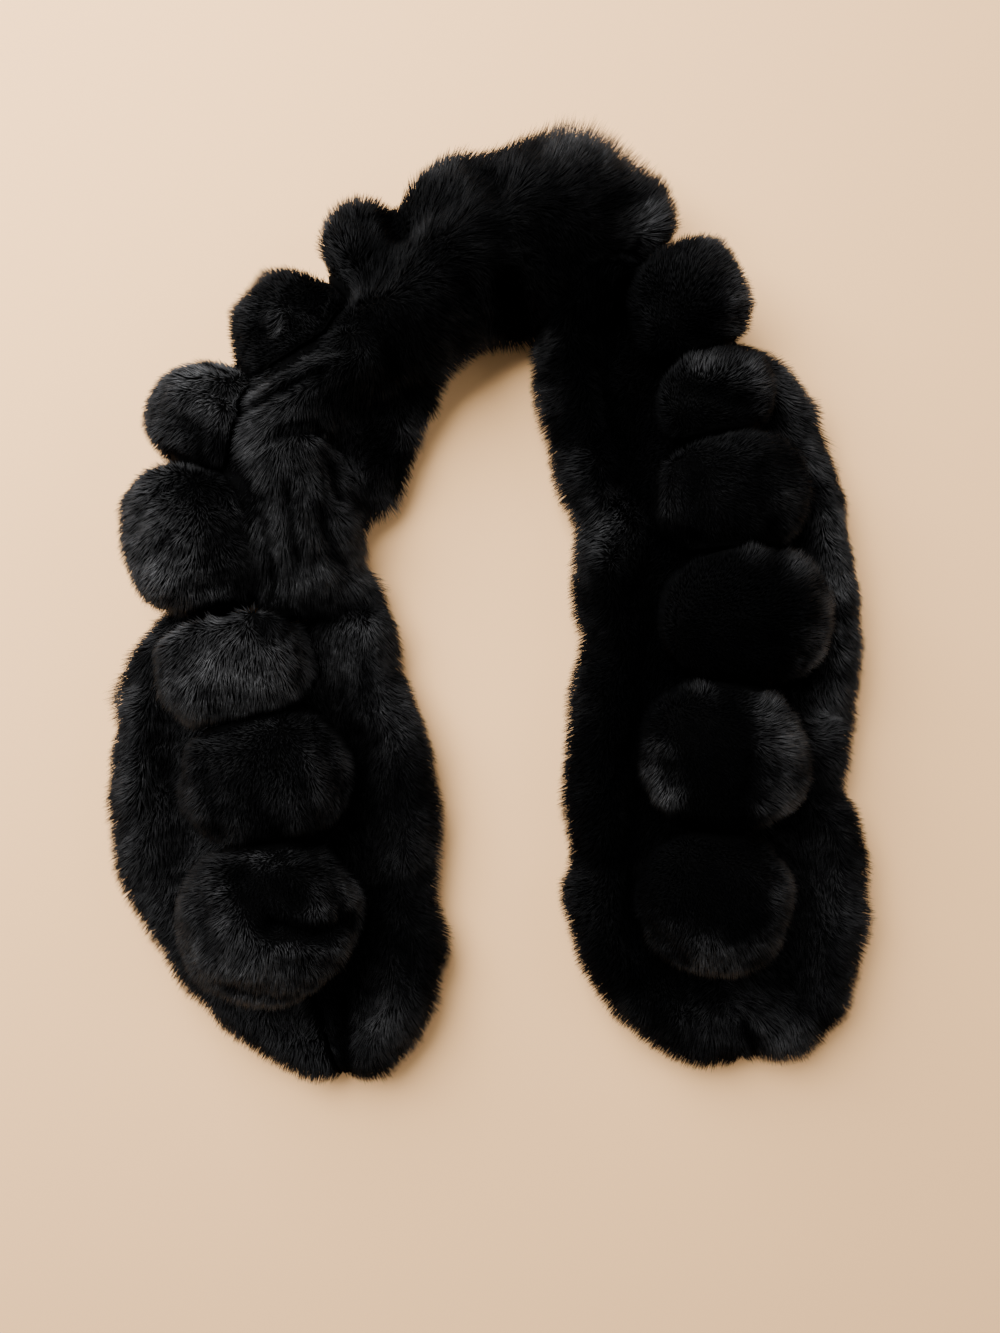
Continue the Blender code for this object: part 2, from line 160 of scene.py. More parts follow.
LAYS = {
    "inner_right": Lay(222, 48, 1.15, 0.02),
    "outer_right": Lay(314, 48, 1.15, 0.2),
    "inner_left": Lay(308, 48, 1.15, 0.14),
    "outer_left": Lay(236, 48, 1.2, 0.4),
    "neck_fold_1": Lay(262, 52, 1.35, 0.45),
    "neck_fold_2": Lay(350, 46, 1.25, 0.1),
    "neck_fold_3": Lay(30, 52, 1.4, 0.10),
    "neck_layer": Lay(250, 35, 1.1, 0.05),
    "puff_left_1": Lay(245, 45, 0.75, 0.5),
    "puff_left_2": Lay(255, 42, 0.75, 0.14),
    "puff_left_3": Lay(268, 52, 0.75, 0.85),
    "puff_left_4": Lay(228, 50, 0.75, 0.60),
    "puff_left_5": Lay(235, 45, 0.75, 0.7),
    "puff_left_6": Lay(170, 38, 0.75, 0.08),
    "puff_left_7": Lay(62, 44, 1.1, 0.2),
    "puff_left_8": Lay(50, 46, 1.1, 0.1),
    "puff_right_1": Lay(285, 36, 0.75, 0.015),
    "puff_right_2": Lay(320, 36, 0.75, 0.015),
    "puff_right_3": Lay(20, 36, 0.75, 0.01),
    "puff_right_4": Lay(325, 46, 0.75, 0.09),
    "puff_right_5": Lay(40, 40, 0.75, 0.05),
    "puff_right_6": Lay(50, 38, 0.75, 0.03),
    "puff_right_7": Lay(40, 48, 1.2, 0.20),
}

# Places in plan, in mm, where the hair of a piece is stroked another way, with its painted sheen.
Stroke = namedtuple("Stroke", "x y angle lean tone length reach")

STROKES = {
    "puff_left_1": (
        Stroke(-106, -106, 230, 60, 0.4, 1, 12),
        Stroke(-101, -128, 245, 62, 1.2, 1, 13),
        Stroke(-84, -137, 262, 64, 2, 1, 13),
        Stroke(-51, -104, 300, 62, 2.2, 1, 10),
        Stroke(-70, -97, 300, 30, 0.08, 1, 10),
        Stroke(-75, -112, 300, 36, 0.3, 1, 8),
        Stroke(-58, -126, 300, 50, 1.2, 1, 8),
        Stroke(-73, -124, 280, 55, 1.2, 1, 8),
        Stroke(-70, -88, 300, 40, 0.08, 1, 7),
        Stroke(-93, -122, 250, 55, 0.8, 1, 6),
        Stroke(-99, -92, 190, 45, 0.12, 1, 9),
        Stroke(-107, -90, 215, 50, 0.15, 1, 9),
        Stroke(-112, -94, 215, 50, 0.15, 1, 6),
    ),
    "puff_left_2": (
        Stroke(-56, -56, 320, 62, 1.3, 1, 9),
        Stroke(-65, -71, 290, 55, 0.8, 1, 9),
        Stroke(-106, -69, 240, 50, 0.5, 1, 9),
        Stroke(-86, -50, 270, 30, 0.1, 1, 13),
        Stroke(-97, -82, 255, 50, 0.5, 1, 8),
    ),
    "puff_left_3": (
        Stroke(-92, -19, 268, 62, 1.9, 1, 20),
        Stroke(-92, -31, 265, 62, 2.6, 1, 13),
        Stroke(-70, -19, 290, 60, 2.4, 1, 11),
        Stroke(-90, -38, 265, 62, 2.4, 1, 8),
        Stroke(-106, -38, 255, 62, 1.8, 1, 12),
        Stroke(-94, -3, 268, 55, 0.12, 1, 8),
        Stroke(-106, -4, 262, 55, 0.3, 1, 7),
        Stroke(-80, -3, 275, 55, 0.15, 1, 7),
        Stroke(-117, -15, 240, 58, 0.5, 1, 8),
        Stroke(-117, -29, 250, 58, 0.9, 1, 7),
        Stroke(-92, -12, 268, 55, 1, 1, 8),
    ),
    "puff_left_4": (
        Stroke(-129, 39, 225, 62, 0.9, 1, 13),
        Stroke(-128, 15, 245, 62, 1.7, 1, 14),
        Stroke(-106, 8, 275, 62, 2.4, 1, 11),
        Stroke(-106, 48, 265, 45, 0.06, 1, 12),
        Stroke(-96, 32, 265, 45, 0.3, 1, 8),
        Stroke(-95, 22, 275, 50, 0.7, 1, 8),
    ),
    "puff_left_5": (
        Stroke(-110, 89, 215, 58, 0.9, 1, 11),
        Stroke(-123, 78, 205, 60, 0.7, 1, 10),
        Stroke(-100, 82, 250, 52, 0.9, 1, 9),
        Stroke(-109, 63, 245, 42, 0.02, 1, 10),
        Stroke(-119, 63, 230, 45, 0.5, 1, 7),
        Stroke(-97, 62, 250, 40, 0.08, 1, 7),
    ),
    "puff_left_6": (
        Stroke(-77, 112, 250, 66, 1.1, 1, 3.2),
        Stroke(-78, 107, 245, 66, 1, 1, 3),
        Stroke(-82, 113, 235, 60, 0.4, 1, 4),
        Stroke(-94, 120, 190, 54, 0.45, 1.1, 8),
        Stroke(-67, 120, 260, 40, 0.02, 1, 9),
        Stroke(-86, 129, 120, 50, 0.25, 1.4, 7),
    ),
    "puff_left_7": (
        Stroke(-66, 154, 115, 55, 0.45, 1.2, 7),
        Stroke(-63, 140, 90, 55, 0.06, 1.1, 7),
        Stroke(-53, 126, 60, 45, 0.02, 1.2, 8),
        Stroke(-53, 160, 85, 54, 0.4, 1.4, 8),
        Stroke(-38, 148, 40, 50, 0.02, 1.1, 7),
        Stroke(-48, 148, 60, 50, 0.1, 1.1, 5),
    ),
    "puff_left_8": (
        Stroke(-21, 170, 60, 58, 0.6, 1.3, 10),
        Stroke(-28, 153, 30, 58, 0.05, 1.3, 8),
        Stroke(-22, 157, 25, 62, 0.08, 1.4, 8),
        Stroke(-7, 174, 50, 60, 0.5, 1.7, 9),
        Stroke(6, 168, 40, 64, 0.12, 1.9, 8),
    ),
    "puff_right_1": (
        Stroke(80, -128, 270, 62, 1.5, 1, 7),
        Stroke(68, -121, 245, 56, 0.6, 1, 6),
        Stroke(110, -102, 330, 60, 0.9, 1, 8),
        Stroke(91, -131, 285, 60, 1.2, 1, 7),
        Stroke(106, -121, 310, 60, 0.8, 1, 7),
    ),
    "puff_right_2": (
        Stroke(67, -67, 240, 64, 1.7, 1, 4.5),
        Stroke(64, -59, 235, 62, 1, 1, 4),
        Stroke(65, -50, 225, 60, 0.6, 1, 3),
        Stroke(109, -47, 350, 62, 1.6, 1, 9),
        Stroke(111, -69, 330, 62, 1.5, 1, 9),
        Stroke(104, -33, 60, 58, 0.8, 1, 7),
        Stroke(80, -28, 100, 60, 0.4, 1, 3.5),
    ),
    "puff_right_3": (
        Stroke(116, 17, 50, 62, 0.7, 1, 6),
        Stroke(127, 3, 20, 62, 1.2, 1, 6),
        Stroke(125, -15, 330, 62, 1.8, 1, 8),
        Stroke(98, 22, 90, 58, 0.5, 1, 4),
    ),
    "puff_right_4": (
        Stroke(70, 24, 280, 66, 1.6, 1.4, 4.5),
        Stroke(68, 42, 300, 56, 0.25, 1, 7),
        Stroke(111, 42, 340, 60, 0.5, 1, 7),
        Stroke(115, 27, 320, 62, 0.9, 1, 6),
        Stroke(95, 62, 10, 55, 0.15, 1, 6),
        Stroke(64, 55, 290, 56, 0.12, 1, 6),
    ),
    "puff_right_5": (
        Stroke(82, 93, 60, 64, 0.6, 1, 6),
        Stroke(98, 85, 40, 62, 1, 1, 7),
    ),
    "puff_right_6": (
        Stroke(98, 124, 0, 60, 2, 1, 8),
        Stroke(81, 132, 45, 60, 0.15, 1, 9),
        Stroke(95, 108, 340, 58, 1.2, 1, 6),
        Stroke(88, 142, 50, 60, 1.6, 1, 8),
    ),
    "puff_right_7": (
        Stroke(61, 153, 50, 64, 1.1, 1.8, 6),
        Stroke(66, 165, 70, 60, 0.5, 1.6, 6),
    ),
    "neck_fold_1": (
        Stroke(-83, 82, 205, 62, 0.6, 1.3, 14),
        Stroke(-92, 67, 225, 60, 0.9, 1.3, 11),
        Stroke(-89, 36, 255, 64, 1.5, 1.6, 14),
        Stroke(-95, 61, 222, 64, 0.8, 2, 7),
        Stroke(-94, 42, 230, 66, 1.3, 2.2, 7),
        Stroke(-94, 21, 238, 66, 1.5, 2.2, 7),
        Stroke(-72, 21, 285, 66, 1, 1.6, 12),
        Stroke(-86, 10, 270, 72, 1.1, 2, 9),
        Stroke(-57, 23, 300, 70, 1.6, 1.8, 12),
        Stroke(-85, -3, 270, 50, 0.02, 1, 7),
        Stroke(-72, -1, 275, 50, 0.02, 1, 7),
        Stroke(-57, 1, 285, 50, 0.02, 1, 7),
        Stroke(-59, 48, 285, 58, 1.7, 1.3, 12),
        Stroke(-71, 44, 265, 60, 0.6, 1.3, 8),
        Stroke(-91, 55, 235, 60, 1.3, 1.4, 8),
        Stroke(-76, 94, 225, 55, 0.12, 1.1, 7),
        Stroke(-62, 105, 230, 50, 0.05, 1.1, 7),
        Stroke(-64, 63, 275, 50, 0.9, 1.1, 10),
        Stroke(-53, 88, 205, 42, 0.08, 1, 14),
        Stroke(-41, 67, 210, 40, 0.03, 1.1, 11),
    ),
    "neck_fold_2": (
        Stroke(-61, 113, 285, 50, 0.02, 1.2, 11),
        Stroke(-53, 125, 340, 50, 0.02, 1.3, 10),
        Stroke(-34, 102, 290, 50, 0.08, 1.2, 15),
        Stroke(-3, 148, 15, 62, 0.1, 1.8, 12),
        Stroke(-24, 158, 50, 64, 0.05, 1.9, 8),
        Stroke(-42, 133, 40, 60, 0.03, 1.6, 9),
        Stroke(-7, 121, 320, 50, 0.2, 1.1, 8),
    ),
    "neck_fold_3": (
        Stroke(4, 162, 25, 62, 0.15, 1.7, 12),
        Stroke(14, 176, 60, 62, 0.25, 2.4, 10),
        Stroke(31, 182, 70, 62, 0.8, 3, 8),
        Stroke(47, 176, 48, 62, 1.2, 2.9, 8),
        Stroke(56, 148, 48, 66, 0.8, 1.9, 6),
        Stroke(58, 168, 55, 64, 0.5, 2.2, 7),
        Stroke(27, 174, 72, 62, 1, 2.6, 9),
        Stroke(33, 183, 75, 40, 0.8, 2.4, 4),
        Stroke(43, 179, 60, 38, 0.9, 2.5, 5),
        Stroke(53, 171, 48, 40, 0.9, 2.3, 4),
        Stroke(27, 140, 280, 40, 0.06, 1.1, 18),
        Stroke(4, 120, 250, 45, 0.2, 1.2, 9),
    ),
    "neck_layer": (
        Stroke(-28, 77, 320, 62, 1.4, 1.3, 6),
        Stroke(-39, 47, 305, 62, 1.6, 1.3, 7),
        Stroke(-55, 47, 270, 45, 0.15, 1.1, 9),
    ),
    "inner_right": (
        Stroke(34, 59, 190, 62, 0.3, 1.1, 7),
        Stroke(41, 29, 215, 62, 0.35, 1.1, 8),
        Stroke(47, 38, 215, 55, 0.5, 1.1, 11),
        Stroke(37, -3, 200, 60, 0.2, 1.1, 7),
        Stroke(35, -33, 195, 60, 0.18, 1.1, 7),
        Stroke(36, -113, 210, 45, 0.1, 1, 14),
        Stroke(60, -168, 240, 58, 0.4, 1.1, 12),
        Stroke(92, -166, 265, 60, 0.35, 1.1, 12),
        Stroke(22, 108, 190, 60, 0.5, 1.1, 5),
        Stroke(24, 88, 195, 60, 0.45, 1.1, 6),
        Stroke(23, 133, 130, 64, 0.7, 1, 2.5),
        Stroke(31, 137, 120, 64, 0.7, 1, 2.5),
        Stroke(39, 141, 110, 64, 0.6, 1, 2.5),
    ),
    "outer_right": (
        Stroke(140, 39, 285, 66, 2.3, 1, 10),
        Stroke(139, 15, 280, 66, 2.2, 1, 12),
        Stroke(130, 63, 300, 60, 1.3, 1.2, 8),
        Stroke(134, -41, 60, 50, 1.5, 1.3, 7),
        Stroke(144, -59, 300, 55, 1.4, 1, 7),
        Stroke(122, 92, 330, 52, 1.6, 1.1, 14),
        Stroke(136, 75, 325, 64, 0.8, 2.6, 4),
        Stroke(144, -9, 290, 55, 1.8, 1.2, 9),
        Stroke(142, -31, 300, 58, 1.4, 1.2, 8),
        Stroke(104, -166, 268, 62, 0.7, 1.2, 9),
        Stroke(120, -170, 285, 62, 1.2, 1.2, 10),
        Stroke(144, -113, 335, 50, 0.5, 1, 14),
        Stroke(153, -124, 345, 60, 1, 1.2, 7),
        Stroke(147, -152, 325, 60, 1, 1.2, 8),
    ),
    "inner_left": (
        Stroke(-49, -9, 285, 60, 1.2, 1.1, 14),
        Stroke(-68, -15, 285, 58, 1.8, 1.1, 10),
        Stroke(-70, -23, 285, 58, 1.2, 1.1, 8),
        Stroke(-33, -37, 305, 52, 1, 1, 12),
        Stroke(-23, -93, 325, 50, 0.8, 1, 12),
        Stroke(-37, -164, 300, 60, 0.9, 1.1, 13),
        Stroke(-55, -172, 275, 55, 0.5, 1.1, 8),
        Stroke(-57, -57, 300, 35, 0.03, 1, 11),
        Stroke(-43, -113, 300, 35, 0.06, 1, 13),
        Stroke(-75, -0, 280, 50, 0.02, 1, 6),
        Stroke(-63, 1, 280, 50, 0.03, 1, 6),
        Stroke(-52, 4, 290, 50, 0.1, 1, 5),
    ),
    "outer_left": (
        Stroke(-145, -29, 200, 66, 0.6, 2.2, 7),
        Stroke(-139, -65, 210, 55, 0.6, 1.1, 14),
        Stroke(-135, -101, 225, 55, 0.6, 1.1, 12),
        Stroke(-103, -164, 250, 58, 0.7, 1.1, 14),
        Stroke(-75, -176, 265, 58, 0.6, 1.1, 9),
        Stroke(-131, -9, 210, 50, 0.4, 1, 9),
    ),
}

# Creases of a piece in plan, in mm: soft troughs with painted shade in them, or ridges where the depth
# is negative.
Crease = namedtuple("Crease", "x y to_x to_y depth width")

CREASES = {
    "puff_left_1": (
        Crease(-91, -97, -79, -114, 6, 4.5),
        Crease(-79, -114, -61, -119, 5.5, 4),
        Crease(-61, -119, -50, -115, 4, 3),
        Crease(-58, -95, -54, -115, 2.5, 2.5),
        Crease(-80, -98, -69, -106, 3.5, 4),
        Crease(-97, -137, -75, -142, 2, 1.6),
        Crease(-104, -107, -100, -126, 1.8, 2.5),
        Crease(-75, -126, -58, -129, 1.8, 2.2),
    ),
    "puff_left_2": (
        Crease(-62, -48, -55, -69, 2.2, 2.5),
        Crease(-70, -54, -65, -76, 1.6, 2.2),
        Crease(-104, -59, -98, -81, 2, 3),
        Crease(-86, -69, -78, -82, 1.5, 2.5),
    ),
    "puff_left_3": (
        Crease(-84, -2, -82, -10, 2.5, 2),
        Crease(-72, -1, -69, -15, 4, 2.4),
        Crease(-69, -15, -71, -28, 3, 2.4),
        Crease(-75, -35, -68, -32, 2, 2),
        Crease(-112, -13, -101, -32, 1.2, 3),
        Crease(-95, -28, -84, -36, 1.2, 3),
    ),
    "puff_left_4": (
        Crease(-123, 23, -114, 30, 1.8, 1.2),
        Crease(-108, 18, -94, 24, 2.2, 1.2),
        Crease(-112, 11, -95, 16, 2, 1.2),
        Crease(-104, 25, -93, 31, 2, 1.2),
        Crease(-124, 41, -113, 49, 1.5, 1.4),
        Crease(-130, 31, -126, 38, 1.4, 1.3),
    ),
    "puff_left_5": (
        Crease(-125, 62, -114, 57, 3.5, 2),
        Crease(-116, 73, -107, 68, 2.4, 1.8),
        Crease(-110, 96, -99, 92, 2, 1.4),
        Crease(-107, 87, -97, 81, 1.8, 1.4),
    ),
    "puff_left_6": (
        Crease(-83, 120, -86, 106, 2, 2.5),
        Crease(-86, 106, -80, 95, 2, 2.5),
        Crease(-73, 118, -71, 104, 2, 2.5),
    ),
    "puff_left_7": (
        Crease(-38, 156, -34, 144, 6, 4),
        Crease(-55, 150, -47, 147, 2, 3),
    ),
    "puff_left_8": (
        Crease(-7, 171, 4, 158, 2, 4),
    ),
    "puff_right_1": (
        Crease(62, -117, 75, -130, 2, 3),
        Crease(94, -86, 106, -99, 1.5, 3),
    ),
    "puff_right_2": (
        Crease(59, -36, 66, -28, -1.6, 2),
        Crease(66, -28, 89, -27, -1.6, 2),
        Crease(92, -32, 96, -54, 1.8, 3),
        Crease(96, -54, 93, -74, 1.5, 3),
        Crease(63, -54, 74, -68, 1.2, 3),
    ),
    "puff_right_3": (
        Crease(78, 8, 92, -10, 1.6, 4),
        Crease(103, -10, 118, -15, 2, 3),
    ),
    "puff_right_4": (
        Crease(56, 34, 78, 28, 3, 3),
        Crease(76, 54, 79, 35, 2, 3),
        Crease(99, 53, 106, 31, 1.6, 3),
    ),
    "puff_right_5": (
        Crease(73, 95, 99, 88, -1.8, 4),
        Crease(75, 85, 99, 79, 3, 4),
    ),
    "puff_right_6": (
        Crease(64, 117, 79, 106, 1.5, 4),
    ),
    "neck_fold_1": (
        Crease(-98, 56, -90, 42, 4.5, 3),
        Crease(-88, 86, -64, 100, 4, 1.8),
        Crease(-84, 80, -60, 90, 4, 1.6),
        Crease(-78, 68, -66, 70, 4, 1.5),
        Crease(-66, 70, -58, 66, 3.5, 1.5),
        Crease(-95, 75, -84, 79, 2.5, 1.6),
        Crease(-62, 60, -60, 46, 3, 1.6),
        Crease(-86, 42, -84, 10, 2.2, 1.8),
        Crease(-76, 48, -73, 21, 2.2, 1.8),
        Crease(-64, 40, -58, 18, 2.4, 2),
    ),
    "neck_fold_2": (
        Crease(-45, 110, -34, 93, 2, 4),
        Crease(-19, 133, -7, 121, 2, 4),
    ),
    "neck_fold_3": (
        Crease(9, 122, 13, 103, 8, 5.5),
        Crease(27, 170, 43, 162, 1.2, 3),
        Crease(43, 153, 58, 159, 1.5, 3),
    ),
    "inner_left_1": (
        Crease(-59, -156, -57, -185, 3, 3.2),
        Crease(-37, -128, -27, -148, 1.5, 4),
    ),
    "outer_left_1": (
        Crease(-94, -168, -90, -181, 1.5, 3),
    ),
    "inner_left_2": (
        Crease(-54, -9, -46, -33, 1.6, 4),
        Crease(-37, -57, -33, -88, 1.2, 4),
    ),
    "outer_left_2": (
        Crease(-134, -49, -128, -72, 1.5, 4),
    ),
    "inner_right_1": (
        Crease(60, 86, 66, 54, 1.5, 5),
    ),
    "inner_right_4": (
        Crease(60, -146, 72, -168, 1.5, 4),
    ),
    "outer_right_1": (
        Crease(102, -164, 108, -176, 3, 3),
        Crease(123, -148, 135, -164, 1.5, 4),
    ),
    "outer_right_3": (
        Crease(128, 54, 132, 44, 2, 2.5),
        Crease(137, 3, 143, -13, 1.5, 3),
    ),
}

# The solids that lie under the one pelt of the nape.
NAPE = (
    "neck_fold_1",
    "neck_fold_2",
    "neck_fold_3",
    "neck_layer",
    "puff_left_7",
    "puff_left_8",
    "puff_right_7",
)

# The width and the length of each strip in mm, as it is cut.
STRIP_CUTS = {
    "inner_right": (70, 285),
    "outer_right": (58, 275),
    "inner_left": (62, 190),
    "outer_left": (58, 190),
}

# Places, in mm, where the padding of a piece swells against the next one.
Swell = namedtuple("Swell", "x y z out reach")

SWELLS = {
    "neck_fold_1": (
        Swell(-60, 1, 12, 5, 12),
        Swell(-45, 6, 12, 5, 12),
        Swell(-98, 12, 14, 5, 12),
        Swell(-93, 28, 25, 5, 14),
        Swell(-93, 50, 25, 5, 12),
        Swell(-86, 95, 20, 4, 12),
        Swell(-72, 109, 20, 4, 12),
    ),
    "inner_left_2": (Swell(-60, -2, 10, 3, 12), Swell(-45, 2, 10, 3, 12)),
    "puff_left_1": (
        Swell(-52, -141, 28, -5, 15),
        Swell(-51, -95, 28, -3, 12),
        Swell(-49, -115, 25, 3, 14),
    ),
    "puff_left_3": (Swell(-96, 10, 30, -6, 19), Swell(-78, 9, 30, -4, 13), Swell(-118, -6, 25, -3, 14)),
    "puff_left_4": (Swell(-93, 12, 12, 5, 12), Swell(-100, 28, 25, 4, 14)),
    "puff_left_5": (Swell(-93, 100, 12, 5, 12),),
    "puff_left_6": (
        Swell(-93, 103, 12, 5, 12),
        Swell(-84, 101, 20, 4, 12),
        Swell(-70, 115, 20, 4, 12),
    ),
    "puff_right_1": (Swell(114, -129, 30, -6, 16),),
    "puff_right_2": (Swell(121, -33, 32, -4, 13),),
    "puff_right_4": (Swell(70, 64, 30, -6, 14), Swell(117, 63, 30, -5, 14)),
    "puff_right_3": (Swell(128, 22, 30, -4, 14), Swell(74, 22, 30, -4, 14)),
    "neck_fold_2": (Swell(-30, 92, 12, 4, 9),),
    "neck_fold_3": (Swell(60, 138, 12, 5, 10),),
    "neck_layer": (Swell(-30, 88, 12, 4, 9),),
    "inner_right_4": (Swell(96, -152, 9, 4, 12), Swell(99, -166, 9, 4, 12)),
    "outer_right_1": (Swell(98, -152, 9, 4, 12), Swell(101, -166, 9, 4, 12)),
    "outer_right_3": (Swell(135, -38, 8, 3, 12),),
    "outer_right_2": (Swell(135, -42, 8, 3, 12),),
}


# ---- Meshes ----------------------------------------------------------------------------------
def add_object(name, data):
    """A new object in the scene that shows a mesh, or holds a lamp or a camera."""
    made = bpy.data.objects.new(name, data)
    bpy.context.scene.collection.objects.link(made)
    return made


def welded_copy(name, nodes):
    """A closed copy of some solids of the frame in one mesh, grown so that they overlap."""
    mesh = bpy.data.meshes.new(name)
    shape = bmesh.new()
    for node in nodes:
        shape.from_mesh(bpy.data.objects[node].data)
    bmesh.ops.remove_doubles(shape, verts=shape.verts, dist=0.001 * MM)
    shape.to_mesh(mesh)
    shape.free()
    move_points(mesh, numpy_points(mesh) + OVERLAP * numpy_normals(mesh))
    return mesh


def evaluated_mesh(made):
    """The object's mesh with its modifiers applied."""
    graph = bpy.context.evaluated_depsgraph_get()
    return bpy.data.meshes.new_from_object(made.evaluated_get(graph))


def applied(made):
    """Applies the object's modifiers and takes them off."""
    mesh = evaluated_mesh(made)
    made.modifiers.clear()
    made.data = mesh
    return made


def add_remesh(made, size):
    """Gives an object an even surface of this grain."""
    remesh = made.modifiers.new("even grain", "REMESH")
    remesh.mode = "VOXEL"
    remesh.voxel_size = size


def numpy_points(mesh):
    """The places of a mesh's points, a row for each."""
    places = np.empty(len(mesh.vertices) * 3)
    mesh.vertices.foreach_get("co", places)
    return places.reshape(-1, 3)


def numpy_normals(mesh):
    """The ways that a mesh's points face, a row for each."""
    normals = np.empty(len(mesh.vertices) * 3)
    mesh.vertex_normals.foreach_get("vector", normals)
    return normals.reshape(-1, 3)


def limited(values):
    """Values held between 0 and 1."""
    return np.clip(values, 0.0, 1.0)


def eased(values, low, high):
    """0 up to low, 1 from high on, and a smooth rise between them."""
    share = limited((values - low) / (high - low))
    return share * share * (3.0 - 2.0 * share)


def unit(ways, least):
    """Ways drawn out to full length, and by less where they are shorter than the least."""
    return ways / np.maximum(np.linalg.norm(ways, axis=1), least)[:, None]


def rounded(mesh, values, passes, share=1.0):
    """Evens values out over neighbouring points, each by its own share."""
    edges = np.empty(len(mesh.edges) * 2, dtype=np.int64)
    mesh.edges.foreach_get("vertices", edges)
    ends = edges.reshape(-1, 2)
    count = np.bincount(edges, minlength=len(values)).astype(float)
    values = np.array(values, dtype=float)
    flat = values.reshape(len(values), -1)
    part = np.broadcast_to(np.asarray(share, dtype=float), (len(values),))[:, None]
    for _ in range(passes):
        total = np.zeros_like(flat)
        for column in range(flat.shape[1]):
            weights = flat[:, column]
            total[:, column] = np.bincount(ends[:, 0], weights[ends[:, 1]], len(flat))
            total[:, column] += np.bincount(ends[:, 1], weights[ends[:, 0]], len(flat))
        flat = flat + ROUNDING_STEP * part * (total / count[:, None] - flat)
    return flat.reshape(values.shape)


def move_points(mesh, places):
    """Puts a mesh's points in new places."""
    mesh.vertices.foreach_set("co", places.ravel())
    mesh.update()


def room_over(places, normals, near):
    """Room from each point of a piece to the pieces near it, along its normal."""
    room = np.full(len(places), ROOMY)
    for i, (place, normal) in enumerate(zip(places, normals)):
        start, way = Vector(place - normal * TIGHT), Vector(normal)
        for tree in near:
            hit = tree.ray_cast(start, way, ROOMY + TIGHT)[3]
            if hit is not None:
                room[i] = min(room[i], hit - TIGHT)
    return room


def swelling(nodes, places):
    """How far the padding of a piece swells at each of its points."""
    out = np.zeros(len(places))
    for swell in rows_for(SWELLS, nodes):
        middle = np.array([swell.x, swell.y, swell.z]) * MM
        off = np.linalg.norm(places - middle, axis=1) / (swell.reach * MM)
        out += swell.out * MM * np.exp(-off * off)
    return out


def lumps(places):
    """Unevenness of the padding under the fur at each point, in broad and small lumps."""
    depth = [
        BROAD_LUMP * noise.noise(Vector(place) / BROAD_SIZE)
        + SMALL_LUMP * noise.noise(Vector(place) / SMALL_SIZE)
        for place in places
    ]
    return np.array(depth)


def off_line(places, crease):
    """Distance in plan of each point from the middle line of a crease."""
    start = np.array([crease.x, crease.y]) * MM
    run = np.array([crease.to_x, crease.to_y]) * MM - start
    along = limited((places[:, :2] - start) @ run / (run @ run))
    return np.linalg.norm(places[:, :2] - start - along[:, None] * run, axis=1)


def crease_depth(nodes, places, normals):
    """How far the creases of a piece press in at each of its points."""
    depth = np.zeros(len(places))
    for crease in rows_for(CREASES, nodes):
        off = off_line(places, crease) / (crease.width * MM)
        depth += crease.depth * MM * np.exp(-off * off)
    return depth * limited(normals[:, 2] * CREASE_FADE)


def row_for(table, node):
    """The row of a piece, or the row that its strip shares."""
    return table.get(node, table.get(strip_of(node)))


def rows_for(table, nodes):
    """All the rows that a table has for some pieces or the strips that they are in."""
    names = dict.fromkeys(name for node in nodes for name in (strip_of(node), node))
    return [row for name in names for row in table.get(name, ())]


def strip_of(node):
    """The name of the strip or the row of puffs that a solid belongs to."""
    return node.rstrip("0123456789").rstrip("_")


def nearest_solid(nodes, places):
    """For each point, which of these solids it is nearest to."""
    if len(nodes) == 1:
        return np.zeros(len(places), dtype=int)
    trees = [solid_tree(node) for node in nodes]
    off = [[tree.find_nearest(Vector(place))[3] for tree in trees] for place in places]
    return np.argmin(np.array(off), axis=1)


